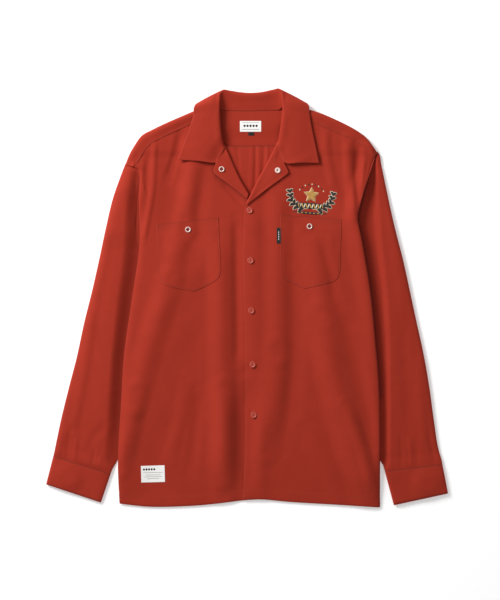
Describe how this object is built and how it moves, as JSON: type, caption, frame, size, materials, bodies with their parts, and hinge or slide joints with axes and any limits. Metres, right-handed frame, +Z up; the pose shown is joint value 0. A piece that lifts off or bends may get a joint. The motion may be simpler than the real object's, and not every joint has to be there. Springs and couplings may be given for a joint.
{
  "type": "long-sleeved work shirt laid flat",
  "caption": "Long-sleeved twill work shirt with an open notched collar, chest pockets and button front, buttoned and laid flat on its back.",
  "frame": {"origin": "on the surface under the shirt, below the middle of its outline", "axes": "+Y towards the collar, +X towards the wearer's left sleeve, +Z up from the surface through the fronts"},
  "size_m": [0.751, 0.7817, 0.0179],
  "materials": {
    "twill": "brick-red cotton blend twill, matt with a faint sheen",
    "button": "red polyester resin, satin",
    "snap": "nickel-plated ring",
    "label": "white woven satin",
    "tape": "black woven tape"
  },
  "bodies": {
    "root": {"back": "twill", "front_left": "twill", "front_right": "twill", "yoke": "twill", "collar": "twill", "lapel_left": "twill", "lapel_right": "twill", "pocket_left": "twill", "pocket_right": "twill", "sleeve_left": "twill", "sleeve_right": "twill", "cuff_left": "twill", "cuff_right": "twill", "button_1": "button", "button_2": "button", "button_3": "button", "button_4": "button", "button_5": "button", "cuff_button_left": "button", "cuff_button_right": "button", "snap_lapel_left": "snap", "snap_lapel_right": "snap", "snap_pocket_left": "snap", "snap_pocket_right": "snap", "neck_label": "label", "hem_label": "label", "size_tab": "tape", "side_tab": "tape"}
  },
  "joints": []
}
